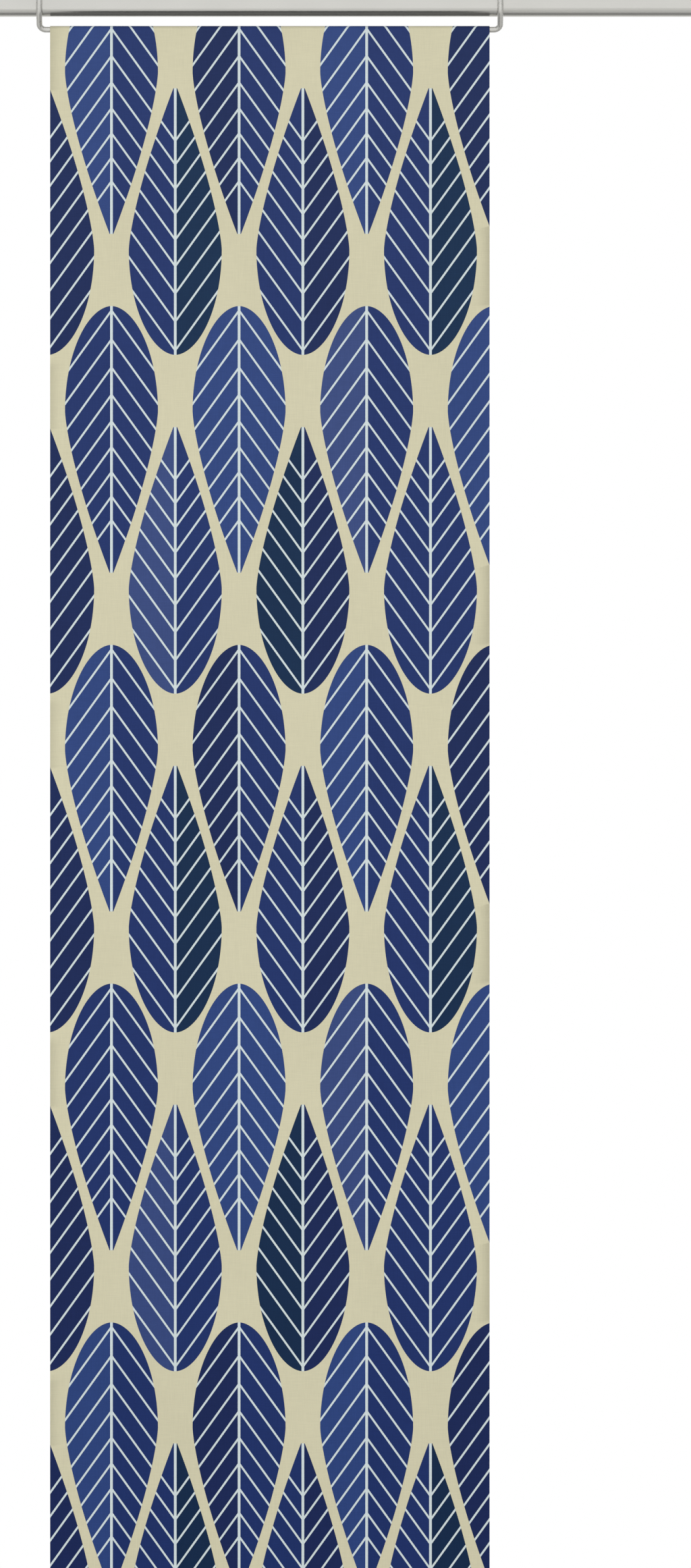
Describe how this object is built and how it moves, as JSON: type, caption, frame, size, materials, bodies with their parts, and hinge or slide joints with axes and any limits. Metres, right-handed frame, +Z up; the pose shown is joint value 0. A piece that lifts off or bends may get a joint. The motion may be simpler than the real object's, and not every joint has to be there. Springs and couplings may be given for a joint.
{
  "type": "sliding panel curtain",
  "caption": "Flat printed cloth panel hung by its top fold on a bent rod hanger that hooks over and slides along a round wall rail.",
  "frame": {"origin": "middle of the left wall plate's back face, on the wall", "axes": "+X along the rail to the right as seen from the room, +Y into the wall, +Z up"},
  "size_m": [1.21, 0.1022, 2.5145],
  "materials": {
    "rail_nickel": "steel tube with satin nickel plating",
    "bracket_enamel": "satin light grey enamel",
    "cap_plastic": "satin moulded light grey",
    "grub_steel": "plain dark steel",
    "rod_steel": "satin drawn steel",
    "bar_steel": "plain drawn steel",
    "cloth": "matt plain weave, warm beige",
    "ink_mid_blue": "matt print, middle blue",
    "ink_royal_blue": "matt print, royal blue",
    "ink_navy_blue": "matt print, navy blue"
  },
  "bodies": {
    "rail": {"rail_tube": "rail_nickel", "left_rail_cap": "cap_plastic", "right_rail_cap": "cap_plastic", "left_wall_plate": "bracket_enamel", "right_wall_plate": "bracket_enamel", "left_arm": "bracket_enamel", "right_arm": "bracket_enamel", "left_arm_screw": "grub_steel", "right_arm_screw": "grub_steel", "left_rail_screw": "grub_steel", "right_rail_screw": "grub_steel"},
    "hanger": {"hanger_bow": "rod_steel"},
    "curtain": {"curtain_cloth": "cloth", "weight_bar": "bar_steel", "print_mid_blue": "ink_mid_blue", "print_royal_blue": "ink_royal_blue", "print_navy_blue": "ink_navy_blue", "print_ground": "cloth"}
  },
  "joints": [
    {"name": "hanger_slide", "type": "slide", "parent": "rail", "child": "hanger", "axis": [1, 0, 0], "range_m": [-0.0675, 0.3675]},
    {"name": "panel_swing", "type": "hinge", "parent": "hanger", "child": "curtain", "pos_m": [0.4, -0.08, -0.0314], "axis": [1, 0, 0], "range_deg": [-20, 1.85]}
  ]
}
